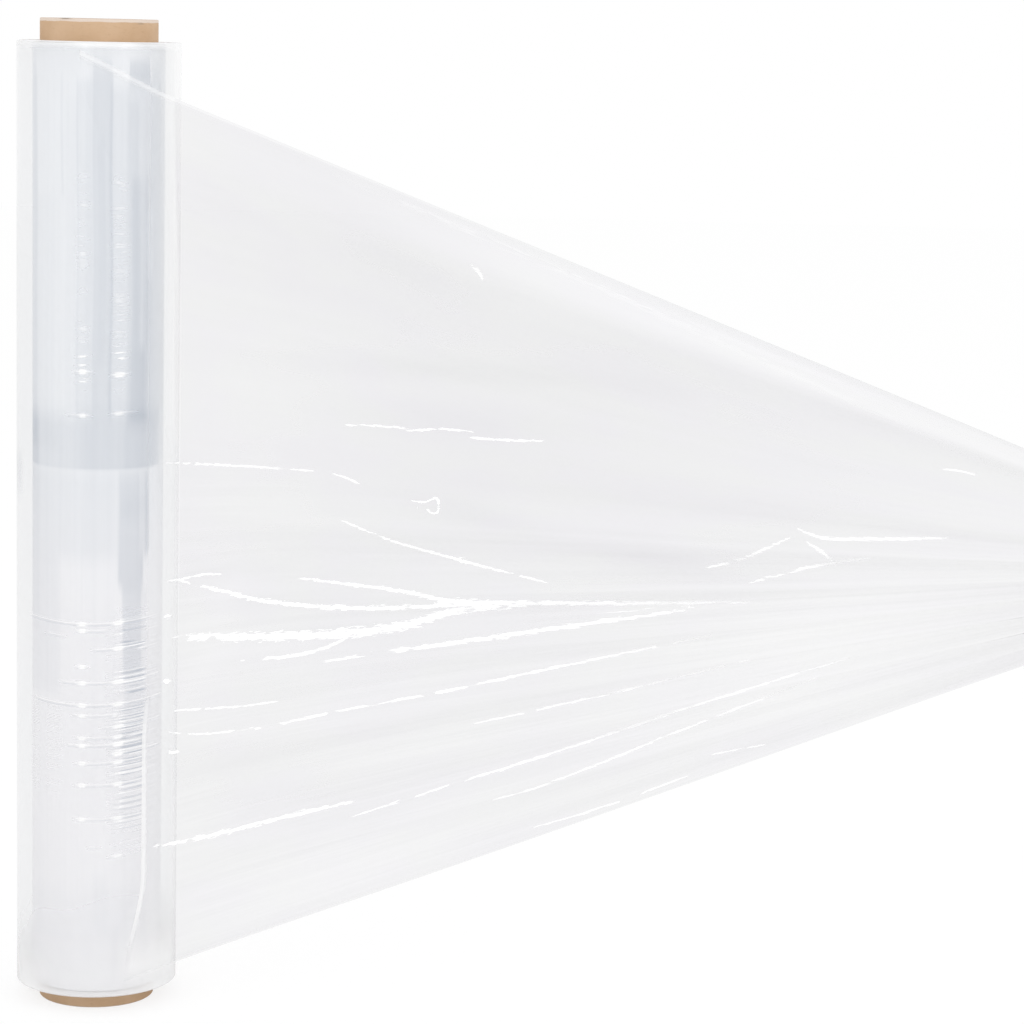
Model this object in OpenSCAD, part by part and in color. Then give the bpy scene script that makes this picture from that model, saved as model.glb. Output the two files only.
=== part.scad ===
// Hand roll of clear stretch film with its loose end drawn off to the right.
// The roll stands on its tube. +Z runs up the tube, and the origin is on the axis
// at the tube's foot. +X points the way the film is drawn off, and the front is -Y.

/* [Core tube] */
// Bore of the paperboard tube
core_bore = 50; // [38:1:60]
// Wall of the paperboard tube
core_wall = 5.5; // [3:0.5:8]
// How far the tube stands out below the film
core_proud_low = 9; // [4:1:30]
// How far the tube stands out above the film
core_proud_top = 11.5; // [4:0.5:30]
// Chamfer on the tube's outer rims
core_chamfer = 0.4; // [0.2:0.1:1]

/* [Wound film] */
// Width of the film
film_width = 500; // [400:10:600]
// Depth of the wound turns on the tube
film_build = 12; // [8:0.5:30]
// Air left between the tube and the first turn
wind_gap = 0.1; // [0.05:0.05:0.3]
// Rounding of the outermost turns at both ends
film_round = 1.2; // [0.5:0.1:2]
// Bands of turns that stand a little in or out on the end faces
turn_bands = 7; // [3:1:10]
// How far every second band stands back
turn_depth = 0.4; // [0.2:0.1:1]

/* [Drawn-off tail] */
// Distance from the roll's axis to the cut end of the tail
tail_reach = 515; // [400:5:700]
// Width that the tail is gathered to at its cut end
tail_end_width = 94; // [80:1:160]
// How far the middle of the cut end hangs below the middle of the roll
tail_drop = 8; // [0:1:40]
// How far the tail's top edge has drawn in where it leaves the roll
tail_inset_top = 4.5; // [1:0.5:10]
// How much further the top edge has drawn in over the first stretch
tail_neck = 4; // [0:1:10]
// How far the tail's bottom edge has drawn in where it leaves the roll
tail_inset_low = 8; // [1:0.5:20]
// How far the bottom edge hangs below a straight run
tail_sag = 5; // [0:0.2:8]
// How far the cut end lies in front of the roll's axis
tail_forward = 15; // [0:1:40]
// Thickness of the tail
tail_thick = 0.5; // [0.4:0.1:1]
// Angle round the roll, from its front, where the top edge peels off
peel_top = -6; // [-20:1:0]
// Angle where the slack middle peels off
peel_mid = 60; // [50:1:65]
// Angle where the lower part peels off
peel_shelf = 44; // [35:1:48]
// Angle where the bottom edge peels off
peel_low = 33; // [20:1:40]
// Length over which the film keeps the direction it peels off in
peel_run = 100; // [80:5:140]
// Number of gathers across the tail
gathers = 9; // [6:1:10]
// Depth of the gathers at the cut end
gather_depth = 8; // [4:0.5:10]

/* [Hidden] */
$fn = 96;

core_r = core_bore / 2 + core_wall;
core_length = core_proud_low + film_width + core_proud_top;
film_in_r = core_r + wind_gap;
film_r = core_r + film_build;
film_top = core_proud_low + film_width;

// The tail leaves from under the outermost turns, so it starts inside the winding
tail_bite = 1.2;
tail_root_r = film_r - tail_bite;
tail_rows = 60;
tail_stations = 34;
tail_mid_z = core_proud_low + film_width / 2 - tail_drop;
// The gathers run straight into the cut end over this share of the reach
gather_run = 0.4 * tail_reach;
// Shares of the width, from the bottom edge up, where the peel angle changes
low_rise = 0.12;
mid_from = 0.26;
mid_rise = 0.2;
top_from = 0.7;
// The edges draw in or hang with this power of the distance from the middle
edge_power = 6;
// Share of the run over which the top edge draws in
neck_run = 0.1;
// The gathers start after this share of the run, and deepen with this power of it
gather_from = 0.06;
gather_power = 0.7;
// The gathers and the mesh rows crowd together at this share of the width, this much
crowd_at = 0.22;
crowd_gathers = 0.1;
crowd_rows = 0.06;
// Depth of the middling gathers, as a share of the deepest, and how much it varies
wave_mean = 0.62;
wave_swing = 0.38;
// The gathers are unevenly spaced by this share of their pitch
wave_drift = 0.15;
// The stations along the run lie closer together near the roll
station_power = 1.25;
// A small step for slopes, as a share of the width or the run
tiny = 0.002;

// Small functions

function mix(a, b, t) = a + (b - a) * t;
function smooth(t) = let (c = max(0, min(1, t))) c * c * (3 - 2 * c);
function unit(p) = p / norm(p);
function bezier(a, b, c, d, t) =
    pow(1 - t, 3) * a + 3 * pow(1 - t, 2) * t * b + 3 * (1 - t) * t * t * c + pow(t, 3) * d;

// Core tube

module core() {
    color([0.80, 0.66, 0.50])
        rotate_extrude()
            translate([core_bore / 2, 0])
                polygon([
                    [0, 0],
                    [core_wall - core_chamfer, 0],
                    [core_wall, core_chamfer],
                    [core_wall, core_length - core_chamfer],
                    [core_wall - core_chamfer, core_length],
                    [0, core_length],
                ]);
}

// Wound turns

band = (film_r - film_round - film_in_r) / turn_bands;

// Half profile of one end face, from the tube outwards, as [radius, depth below the face]
function end_face() = [
    for (i = [0 : turn_bands - 1])
        let (depth = i % 2 == 0 ? turn_depth : 0, r = film_in_r + i * band)
            each [[r, depth], [r + band, depth]],
];

// Quarter round that ends the face, as [radius, depth below the face]
function rim() = [
    for (a = [0 : 15 : 90])
        [film_r - film_round + film_round * sin(a), film_round - film_round * cos(a)],
];

module wound_turns() {
    face = concat(end_face(), rim());
    n = len(face);
    rotate_extrude()
        polygon(concat(
            [for (p = face) [p[0], film_top - p[1]]],
            [for (i = [n - 1 : -1 : 0]) [face[i][0], core_proud_low + face[i][1]]]
        ));
}

// Tail. A place on it is v across the width, 0 at the bottom edge and 1 at the top,
// and u along the run, 0 inside the roll and 1 at the cut end.

function peel_angle(v) =
    peel_low
    + (peel_shelf - peel_low) * smooth(v / low_rise)
    + (peel_mid - peel_shelf) * smooth((v - mid_from) / mid_rise)
    - (peel_mid - peel_top) * smooth((v - top_from) / (1 - top_from));

function root_z(v) = mix(core_proud_low + tail_inset_low, film_top - tail_inset_top, v);
function end_z(v) = tail_mid_z + (v - 0.5) * tail_end_width;

// Path of one row seen from above: out along the tangent, then on to the cut end
function plan(v, u) =
    let (
        a = peel_angle(v),
        start = tail_root_r * [sin(a), -cos(a)],
        end = [tail_reach, -tail_forward]
    )
    bezier(start, start + peel_run * [cos(a), sin(a)], end - [gather_run, 0], end, u);

// Height of a row at a distance from the axis: a straight run to the cut end, with the
// top edge drawn in a little sooner and the bottom edge hanging a little
function height(v, x) =
    let (
        x0 = tail_root_r * sin(peel_angle(v)),
        t = (x - x0) / (tail_reach - x0),
        neck = tail_neck * pow(v, edge_power) * smooth(t / neck_run) * (1 - t),
        sag = tail_sag * pow(1 - v, edge_power) * 27 / 4 * t * pow(1 - t, 2)
    )
    mix(root_z(v), end_z(v), t) - neck - sag;

// Gathers: waves that grow from nothing at the roll to their full depth. They crowd
// together and are deepest a quarter of the way up, and the upper middle stays smooth.
function crowded(v) = v + crowd_gathers * sin(360 * (v - crowd_at));
function wave(v) =
    sin(360 * (gathers * crowded(v) + wave_drift * sin(620 * v + 40)))
    * (wave_mean + wave_swing * cos(360 * (v - crowd_at)));
function gather(v, u) =
    gather_depth * pow(smooth((u - gather_from) / (1 - gather_from)), gather_power) * wave(v);

// The rows crowd together where the gathers do
function row(i) =
    let (t = i / tail_rows)
    t - crowd_rows * (sin(360 * (t - crowd_at)) + sin(360 * crowd_at));

function place(v, u) =
    let (
        p = plan(v, u),
        along = unit(plan(v, u + tiny) - plan(v, u - tiny)),
        q = p + gather(v, u) * [along[1], -along[0]]
    )
    [q[0], q[1], height(v, p[0])];

function outward(v, u) =
    unit(cross(
        place(v, u + tiny) - place(v, u - tiny),
        place(v + tiny, u) - place(v - tiny, u)
    ));

// One side of the tail, station after station, offset by half the thickness
function side(half) = [
    for (j = [0 : tail_stations], i = [0 : tail_rows])
        let (v = row(i), u = pow(j / tail_stations, station_power))
            place(v, u) + half * outward(v, u),
];

module tail() {
    across = tail_rows + 1;
    back = across * (tail_stations + 1);
    last = tail_stations * across;
    front_faces = [
        for (j = [0 : tail_stations - 1], i = [0 : tail_rows - 1])
            let (a = j * across + i, b = a + 1, c = a + across + 1, d = a + across)
                each [[a, b, c], [a, c, d]],
    ];
    back_faces = [for (f = front_faces) [f[2] + back, f[1] + back, f[0] + back]];
    rim_faces = [
        for (i = [0 : tail_rows - 1])
            each [
                [i + 1, i, i + back],
                [i + 1, i + back, i + 1 + back],
                [last + i, last + i + 1, last + i + 1 + back],
                [last + i, last + i + 1 + back, last + i + back],
            ],
        for (j = [0 : tail_stations - 1])
            let (a = j * across, b = a + across, top = tail_rows)
                each [
                    [a, b, b + back],
                    [a, b + back, a + back],
                    [b + top, a + top, a + top + back],
                    [b + top, a + top + back, b + top + back],
                ],
    ];
    polyhedron(
        points = concat(side(tail_thick / 2), side(-tail_thick / 2)),
        faces = concat(front_faces, back_faces, rim_faces)
    );
}

module film() {
    color([0.90, 0.92, 0.95]) {
        wound_turns();
        tail();
    }
}

core();
film();
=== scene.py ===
# %% [markdown]
# # A roll of clear stretch film with its end drawn off
#
# Stretch film is a very thin, clear and stretchy plastic sheet. More than a hundred metres of
# it are wound on one paperboard tube. Wound up, its hundreds of layers look silvery and milky.
# Drawn off, a single layer is so clear that only its edges, creases and highlights show.
#
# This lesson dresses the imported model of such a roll. The tube keeps its own solid and gets a
# paperboard finish. The film's solid is replaced by three finer pieces: the outer turns, the
# inner turns that show through them, and the drawn-off sheet.

import math

import bpy
import numpy as np
from mathutils import Matrix, Vector


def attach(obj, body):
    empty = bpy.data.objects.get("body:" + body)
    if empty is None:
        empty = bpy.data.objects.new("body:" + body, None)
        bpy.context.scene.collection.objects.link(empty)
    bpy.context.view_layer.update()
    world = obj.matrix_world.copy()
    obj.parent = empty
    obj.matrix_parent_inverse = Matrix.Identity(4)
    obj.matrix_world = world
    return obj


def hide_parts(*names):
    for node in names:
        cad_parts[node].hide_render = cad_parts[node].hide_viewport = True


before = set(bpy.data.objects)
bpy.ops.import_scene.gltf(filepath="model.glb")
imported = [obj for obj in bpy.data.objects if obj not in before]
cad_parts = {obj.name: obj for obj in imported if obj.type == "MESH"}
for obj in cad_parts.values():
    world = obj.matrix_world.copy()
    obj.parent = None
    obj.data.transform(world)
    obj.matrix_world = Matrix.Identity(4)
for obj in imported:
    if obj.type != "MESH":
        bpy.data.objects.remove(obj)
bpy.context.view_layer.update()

# %% [markdown]
# ## Sizes
#
# The solids were made in millimetres and the scene is in metres, so every size is written in
# millimetres and multiplied by MM where a mesh is made. A finish reads places in metres, and
# TO_MM turns them back.

# %% Sizes of the roll, in millimetres
MM = 0.001
TO_MM = 1000.0
FILM_IN_R = 30.6
FILM_R = 42.5
FILM_LOW = 9.0
FILM_TOP = 509.0
TUBE_TOP = 520.5

# %% [markdown]
# ## Camera
#
# The photograph was taken from the height of the roll's top and from its right, with a long
# lens. The camera was worked out from the roll's outline and the two round ends, which fix its
# distance, its height and its lens. It also leans a little, so the camera is turned about its
# own line of sight as well.

# %% The camera, from its place, its downward pitch and its lean
FRAME_PX = 1024
LENS = 113.498
SENSOR = 36.0
EYE = Vector((0.219169, -1.688749, 0.524729))
PITCH = math.radians(8.67)
LEAN = math.radians(1.294)

camera_data = bpy.data.cameras.new("photo_camera")
camera_data.lens = LENS
camera_data.sensor_width = SENSOR
camera_data.clip_start = 0.05
camera_data.clip_end = 50
camera = bpy.data.objects.new("photo_camera", camera_data)
bpy.context.scene.collection.objects.link(camera)
turn = Matrix.Rotation(math.pi / 2 - PITCH, 4, "X") @ Matrix.Rotation(LEAN, 4, "Z")
camera.matrix_world = Matrix.Translation(EYE) @ turn
bpy.context.scene.camera = camera


def pixels_of(points):
    """Where points, given in metres, fall in the photograph, as two arrays of pixels."""
    right, up, back = (np.array(turn.col[i][:3]) for i in range(3))
    ray = np.asarray(points, float) - np.array(EYE)
    depth = -(ray @ back)
    focal = LENS / SENSOR * FRAME_PX
    across = FRAME_PX / 2 + focal * (ray @ right) / depth
    down = FRAME_PX / 2 - focal * (ray @ up) / depth
    return across, down


print("foot of the roll falls at", [round(float(c[0]), 1) for c in pixels_of([(0, 0, 0)])])

# %% [markdown]
# ## Shader maths
#
# A finish is built from many small nodes. Wiring them one by one hides what they compute, so a
# socket is wrapped in a small class that turns a Python expression into Math nodes. Every other
# node comes from one method, which sets the node's own settings first and its sockets next.


# %% A class for values, and one for finishes
class Value:
    """A socket that can be used in an expression."""

    def __init__(self, finish, socket):
        self.finish, self.socket = finish, socket

    def _math(self, operation, a, b=None, c=None):
        given = {i: x for i, x in enumerate((a, b, c)) if x is not None}
        return self.finish.node("ShaderNodeMath", {"operation": operation}, given)

    def __add__(self, other):
        return self._math("ADD", self, other)

    def __sub__(self, other):
        return self._math("SUBTRACT", self, other)

    def __mul__(self, other):
        return self._math("MULTIPLY", self, other)

    def __truediv__(self, other):
        return self._math("DIVIDE", self, other)

    def __pow__(self, other):
        return self._math("POWER", self, other)

    def __rsub__(self, other):
        return self._math("SUBTRACT", other, self)

    def __rtruediv__(self, other):
        return self._math("DIVIDE", other, self)

    def __neg__(self):
        return self._math("MULTIPLY", self, -1.0)

    __radd__ = __add__
    __rmul__ = __mul__

    def size(self):
        """The value without its sign."""
        return self._math("ABSOLUTE", self)

    def clamp(self):
        """The value held between 0 and 1."""
        return self.finish.node("ShaderNodeClamp", {}, {0: self})

    def ramp(self, low, high):
        """0 below low, 1 above high, and a soft rise between them."""
        settings = {"interpolation_type": "SMOOTHSTEP"}
        return self.finish.node("ShaderNodeMapRange", settings, {0: self, 1: low, 2: high})

    def hump(self, centre, width):
        """About 1 within width of centre, and 0 well away from it."""
        squared = ((self - centre) / width) ** 2.0
        return 1.0 / (squared * squared + 1.0)

    def within(self, low, high, soft):
        """1 between low and high and 0 outside, with edges as soft as given."""
        return self.ramp(low - soft, low + soft) * (1.0 - self.ramp(high - soft, high + soft))

    def line(self, at, thin):
        """A thin line where the value passes a level."""
        return ((self - at).size() * -thin + 1.0).clamp()


class Finish:
    """A material whose nodes are added by name."""

    def __init__(self, name):
        self.material = bpy.data.materials.new(name)
        self.material.use_nodes = True
        self.tree = self.material.node_tree
        self.tree.nodes.clear()

    def node(self, kind, settings=None, sockets=None, out=0):
        """Adds a node, sets it, joins its sockets and gives one of its outputs."""
        made = self.tree.nodes.new(kind)
        for key, value in (settings or {}).items():
            setattr(made, key, value)
        for key, value in (sockets or {}).items():
            if isinstance(value, Value):
                self.tree.links.new(value.socket, made.inputs[key])
            else:
                made.inputs[key].default_value = value
        return Value(self, made.outputs[out]) if made.outputs else None

    def place(self):
        """Object coordinates, in metres."""
        return self.node("ShaderNodeTexCoord", out="Object")

    def around(self, x, y):
        """The angle round the roll in degrees, from its front towards the drawn-off side."""
        turned = self.node("ShaderNodeMath", {"operation": "ARCTAN2"}, {0: x, 1: -y})
        return turned * (180 / math.pi)

    def parts(self, vector):
        """The three numbers of a vector."""
        first = self.node("ShaderNodeSeparateXYZ", {}, {0: vector})
        node = first.socket.node
        return [Value(self, node.outputs[i]) for i in range(3)]

    def scaled(self, vector, scale):
        """A vector stretched along each axis."""
        return self.node("ShaderNodeMapping", {}, {"Vector": vector, "Scale": scale})

    def noise(self, vector, scale, detail=2.0, rough=0.5, dimensions="3D"):
        """Even noise about 0.5. Two dimensions are enough on a flat map."""
        settings = {"noise_dimensions": dimensions}
        sockets = {"Vector": vector, "Scale": scale, "Detail": detail, "Roughness": rough}
        return self.node("ShaderNodeTexNoise", settings, sockets)

    def blend(self, factor, first, second):
        """A colour between two colours."""
        settings = {"data_type": "RGBA", "clamp_factor": True}
        return self.node("ShaderNodeMix", settings, {0: factor, 6: first, 7: second}, out=2)

    def bump(self, height, distance, strength=1.0):
        """Small relief that tilts the light but moves nothing."""
        sockets = {"Strength": strength, "Distance": distance, "Height": height}
        return self.node("ShaderNodeBump", {}, sockets)

    def surface(self, **sockets):
        """Ends the finish with a Principled shader. Words are its sockets."""
        named = {key.replace("_", " "): value for key, value in sockets.items()}
        shader = self.node("ShaderNodeBsdfPrincipled", {}, named)
        self.node("ShaderNodeOutputMaterial", {}, {"Surface": shader})
        return self.material


def colour(red, green, blue):
    """A colour written as its three screen values from 0 to 255."""
    linear = [((c / 255 + 0.055) / 1.055) ** 2.4 for c in (red, green, blue)]
    return (*linear, 1.0)


print("shader helpers ready")

# %% [markdown]
# ## Modelling helpers
#
# An operator acts on everything that is selected, so each piece starts with nothing selected.
# Faces and edges are then picked in code, by where they lie.


# %% Small helpers for modelling by operators
def start_piece():
    """Leaves edit mode and selects nothing."""
    if bpy.context.mode != "OBJECT":
        bpy.ops.object.mode_set(mode="OBJECT")
    bpy.ops.object.select_all(action="DESELECT")


def pick(piece, chosen, kind="FACE"):
    """Selects the faces or edges that chosen() accepts, and stays in edit mode."""
    bpy.ops.object.mode_set(mode="EDIT")
    bpy.ops.mesh.select_mode(type=kind)
    bpy.ops.mesh.select_all(action="DESELECT")
    bpy.ops.object.mode_set(mode="OBJECT")
    mesh = piece.data
    for item in mesh.polygons if kind == "FACE" else mesh.edges:
        item.select = chosen(item)
    bpy.ops.object.mode_set(mode="EDIT")


def finish_piece(name, piece):
    """Back to object mode, with its place in its mesh, and named."""
    bpy.ops.object.mode_set(mode="OBJECT")
    bpy.ops.object.transform_apply(location=True, rotation=True, scale=True)
    piece.name = name
    piece.data.name = name
    print(name, len(piece.data.polygons), "faces")
    return piece


def read_points(piece):
    """The places of the vertices, one row of three numbers each."""
    points = np.empty(len(piece.data.vertices) * 3)
    piece.data.vertices.foreach_get("co", points)
    return points.reshape(-1, 3)


def write_points(piece, points):
    """Moves the vertices to new places."""
    piece.data.vertices.foreach_set("co", np.asarray(points, float).ravel())
    piece.data.update()


def add_attribute(piece, name, values, kind="FLOAT"):
    """Stores one number, or one vector, for each vertex."""
    made = piece.data.attributes.new(name, kind, "POINT")
    field = "value" if kind == "FLOAT" else "vector"
    made.data.foreach_set(field, np.asarray(values, np.float32).ravel())


# %% [markdown]
# ## The wound film
#
# The winding is a thick ring. A cylinder is the start. Both end faces are inset band by band,
# and every second band is pushed in a little, because the turns of a real roll never end quite
# level. The disc that is left in the middle is deleted and the two open edges are bridged,
# which makes the wall that lies on the tube. The outer rims are bevelled, because the last
# turns are soft and curl over.

# %% The ring of turns, by operators
SIDES = 192
BANDS = 7
BAND_DEPTH = 0.4
RIM = 1.2
STEP_WIDTH = 0.05
LOOP_SLACK = 0.04
MIDDLE = Vector((0, 0, (FILM_LOW + FILM_TOP) / 2 * MM))


def stack_ends(bands, wide, depth, height):
    """Insets both end faces band by band; every second band is set back."""
    back = (height - 2 * depth) / height
    for i in range(bands - 1):
        bpy.ops.mesh.inset(thickness=(wide - STEP_WIDTH) * MM, use_individual=True)
        bpy.ops.mesh.inset(thickness=STEP_WIDTH * MM, use_individual=True)
        factor = back if i % 2 == 0 else 1 / back
        bpy.ops.transform.resize(value=(1, 1, factor), center_override=MIDDLE)
    bpy.ops.mesh.inset(thickness=wide * MM, use_individual=True)


def wound_ring(name, outer, inner, low, top, rim, bands, sides=SIDES):
    """A closed ring of wound film, with banded end faces and rounded outer rims."""
    start_piece()
    bpy.ops.mesh.primitive_cylinder_add(
        vertices=sides,
        radius=outer * MM,
        depth=(top - low) * MM,
        location=(0, 0, (low + top) / 2 * MM),
        end_fill_type="NGON",
    )
    ring = bpy.context.object
    bpy.ops.object.transform_apply(location=True)
    pick(ring, lambda face: abs(face.normal.z) > 0.9)
    bpy.ops.mesh.inset(thickness=rim * MM, use_individual=True)
    stack_ends(bands, (outer - rim - inner) / bands, BAND_DEPTH, top - low)
    bpy.ops.mesh.delete(type="FACE")
    pick(ring, lambda edge: rim_of(ring, edge, inner), "EDGE")
    bpy.ops.mesh.bridge_edge_loops()
    pick(ring, lambda edge: rim_of(ring, edge, outer), "EDGE")
    bpy.ops.mesh.bevel(offset=rim * 0.9 * MM, segments=4, profile=0.5)
    bpy.ops.object.mode_set(mode="OBJECT")
    return ring


def rim_of(ring, edge, radius):
    """True for an edge that runs round one of the two ends at that radius."""
    a, b = (ring.data.vertices[i].co for i in edge.vertices)
    level = abs(a.z - b.z) < 0.01 * MM
    return level and all(abs(p.xy.length - radius * MM) < LOOP_SLACK * MM for p in (a, b))


film_wound = wound_ring("film_wound", FILM_R, FILM_IN_R, FILM_LOW, FILM_TOP, RIM, BANDS)
print("ring has", len(film_wound.data.polygons), "faces")

# %% [markdown]
# The outer wall is still one tall face a side. It is cut into short rows, so that the ripples
# of the last turns can be real shape. Most rows are far apart, and those in the rippled lower
# part of the roll lie close together.

# %% Rows on the outer wall
RIPPLE_LOW = 62.0
RIPPLE_TOP = 212.0
FLASH_LOW = 312.0
FLASH_TOP = 344.0
ROWS, RIPPLE_ROWS, FLASH_ROWS = 49, 7, 7
SHORTEST_CUT = 4


def upright(ring, edge, radius, low, top):
    """True for an upright edge of the outer wall between two heights."""
    a, b = (ring.data.vertices[i].co for i in edge.vertices)
    outer = min(a.xy.length, b.xy.length) > (radius - 0.1) * MM
    tall = abs(a.z - b.z) > SHORTEST_CUT * MM
    return outer and tall and low * MM <= (a.z + b.z) / 2 <= top * MM


def cut_rows(ring, radius, low, top, cuts):
    """Cuts the upright edges of the outer wall between two heights."""
    pick(ring, lambda edge: upright(ring, edge, radius, low, top), "EDGE")
    bpy.ops.mesh.subdivide(number_cuts=cuts)
    bpy.ops.object.mode_set(mode="OBJECT")


cut_rows(film_wound, FILM_R, FILM_LOW, FILM_TOP, ROWS)
cut_rows(film_wound, FILM_R, RIPPLE_LOW, RIPPLE_TOP, RIPPLE_ROWS)
cut_rows(film_wound, FILM_R, FLASH_LOW, FLASH_TOP, FLASH_ROWS)
print("outer wall cut,", len(film_wound.data.polygons), "faces")

# %% [markdown]
# The ripples run round the roll, because the film was wound under tension and relaxed across
# it. They are made here as a sum of waves in the height whose phase drifts round the roll, and
# they fade out above and below. A ripple is only a tenth of a millimetre deep.

# %% Ripples of the last turns
RIPPLE_DEPTH = 0.14
PITCHES = (3.1, 4.3, 5.9, 8.7, 13.0)
FADE_LOW, FADE_TOP = 25, 18
rng = np.random.default_rng(7)


def smooth(t):
    """A soft rise from 0 to 1."""
    t = np.clip(t, 0, 1)
    return t * t * (3 - 2 * t)


def ripples(angle, height):
    """How far the surface stands out, in millimetres, at an angle and a height."""
    total = np.zeros_like(height)
    for pitch in PITCHES:
        phase, turns = rng.uniform(0, 2 * math.pi), rng.integers(1, 4)
        drift = 1.5 * np.sin(turns * angle + rng.uniform(0, 2 * math.pi))
        total += np.sin(2 * math.pi * height / pitch + phase + drift) / len(PITCHES)
    zone = smooth((height - RIPPLE_LOW) / FADE_LOW) * smooth((RIPPLE_TOP - height) / FADE_TOP)
    slack = 0.55 + 0.45 * np.cos(angle - math.radians(30))
    return RIPPLE_DEPTH * total * zone * slack


points = read_points(film_wound) / MM
radius = np.hypot(points[:, 0], points[:, 1])
angle = np.arctan2(points[:, 0], -points[:, 1])
wall = radius > FILM_R - 0.05
shift = np.where(wall, ripples(angle, points[:, 2]), 0)
points[:, :2] *= ((radius + shift) / radius)[:, None]
write_points(film_wound, points * MM)
bpy.ops.object.shade_smooth_by_angle(angle=math.radians(30))
finish_piece("film_wound", film_wound)

# %% [markdown]
# ## The turns below
#
# Looking at a roll of clear film, the eye sees through the outer turns to denser, silvery ones
# round the tube. That is why the middle of the roll looks darker than its two pale sides. A
# second ring inside the first one gives that depth from every side, which paint on the outer
# wall could not.

# %% The inner turns
DEPTH_R = 34.2
INNER_GAP = 0.05
END_GAP = 1.0
DEPTH_IN_R = FILM_IN_R + INNER_GAP
DEPTH_LOW, DEPTH_TOP = FILM_LOW + END_GAP, FILM_TOP - END_GAP
DEPTH_RIM = 0.4
DEPTH_ROWS = 98
BELT_LOW, BELT_SOFT, BELT_ROWS = 289.5, 3, 3
film_depth = wound_ring(
    "film_depth", DEPTH_R, DEPTH_IN_R, DEPTH_LOW, DEPTH_TOP, DEPTH_RIM, 1, sides=2 * SIDES
)
cut_rows(film_depth, DEPTH_R, DEPTH_LOW, DEPTH_TOP, DEPTH_ROWS)
cut_rows(film_depth, DEPTH_R, BELT_LOW - BELT_SOFT, BELT_LOW + BELT_SOFT, BELT_ROWS)
bpy.ops.object.shade_smooth_by_angle(angle=math.radians(30))
finish_piece("film_depth", film_depth)

# %% [markdown]
# ## The drawn-off sheet
#
# A place on the sheet is given by v across the film, 0 at the bottom edge and 1 at the top, and
# by u along it, 0 on the roll and 1 at the cut end. Each row leaves the roll straight ahead at
# its own angle, and then bends to the gathered end. The rule is the one that shaped the solid,
# except that the rows below the middle leave the roll a few degrees sooner, as the photograph
# shows. A grid keeps u and v in its UV map, so the finish can follow the film however it bends.

# %% The rule of the sheet
REACH = 515.0
END_WIDTH = 94.0
DROP = 8.0
INSET_TOP = 4.5
INSET_LOW = 8.0
NECK = 4.0
SAG = 5.0
FORWARD = 15.0
PEEL_TOP, PEEL_MID, PEEL_SHELF, PEEL_LOW = -6.0, 60.0, 40.5, 27.0
PEEL_RUN = 100.0
GATHERS = 9
GATHER_DEPTH = 8.0
CROWD_AT = 0.22
ROOT_R = FILM_R + 0.12


def mix(a, b, t):
    """A value between a and b."""
    return a + (b - a) * t


def sin_deg(angle):
    """The sine of an angle in degrees."""
    return np.sin(np.radians(angle))


def peel_angle(v):
    """Angle round the roll where a row leaves it, in degrees."""
    low = PEEL_LOW + (PEEL_SHELF - PEEL_LOW) * smooth(v / 0.12)
    middle = (PEEL_MID - PEEL_SHELF) * smooth((v - 0.26) / 0.2)
    return low + middle - (PEEL_MID - PEEL_TOP) * smooth((v - 0.7) / 0.3)


def plan(v, u):
    """The path of a row seen from above, as two arrays."""
    a = np.radians(peel_angle(v))
    start = ROOT_R * np.array([np.sin(a), -np.cos(a)])
    first = start + PEEL_RUN * np.array([np.cos(a), np.sin(a)])
    end = np.array([np.full_like(v, REACH), np.full_like(v, -FORWARD)])
    last = end - np.array([np.full_like(v, 0.4 * REACH), np.zeros_like(v)])
    w = 1 - u
    return w**3 * start + 3 * w * w * u * first + 3 * w * u * u * last + u**3 * end


def height_of(v, x):
    """The height of a row at a distance from the axis."""
    root = mix(FILM_LOW + INSET_LOW, FILM_TOP - INSET_TOP, v)
    end = (FILM_LOW + FILM_TOP) / 2 - DROP + (v - 0.5) * END_WIDTH
    x0 = ROOT_R * sin_deg(peel_angle(v))
    t = (x - x0) / (REACH - x0)
    neck = NECK * v**6 * smooth(t / 0.1) * (1 - t)
    sag = SAG * (1 - v) ** 6 * 27 / 4 * t * (1 - t) ** 2
    return mix(root, end, t) - neck - sag


def gather(v, u):
    """How far a gather stands off the sheet."""
    crowded = v + 0.1 * sin_deg(360 * (v - CROWD_AT))
    drift = 0.15 * sin_deg(620 * v + 40)
    deep = 0.62 + 0.38 * np.cos(np.radians(360 * (v - CROWD_AT)))
    wave = sin_deg(360 * (GATHERS * crowded + drift)) * deep
    return GATHER_DEPTH * smooth((u - 0.06) / 0.94) ** 0.7 * wave


def sheet_points(v, u, tiny=0.002):
    """Places on the sheet in millimetres, one row of three numbers each."""
    x, y = plan(v, u)
    ahead, behind = plan(v, u + tiny), plan(v, u - tiny)
    along = (ahead - behind) / np.hypot(*(ahead - behind))
    off = gather(v, u)
    return np.stack([x + off * along[1], y - off * along[0], height_of(v, x)], axis=1)


print("a corner of the cut end:", sheet_points(np.array([1.0]), np.array([1.0])).round(1))

# %% The sheet from a grid
ALONG = 300
ACROSS = 320

start_piece()
bpy.ops.mesh.primitive_grid_add(x_subdivisions=ALONG, y_subdivisions=ACROSS, size=1)
film_tail = bpy.context.object
flat = read_points(film_tail)
sheet_u = (flat[:, 0] + 0.5) ** 1.2
level = flat[:, 1] + 0.5
sheet_v = level - 0.06 * (sin_deg(360 * (level - CROWD_AT)) + sin_deg(360 * CROWD_AT))
sheet = sheet_points(sheet_v, sheet_u)
write_points(film_tail, sheet * MM)

# %% [markdown]
# The UV map is rewritten so that it holds u and v themselves, because the rows were crowded
# together where the gathers are.

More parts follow.
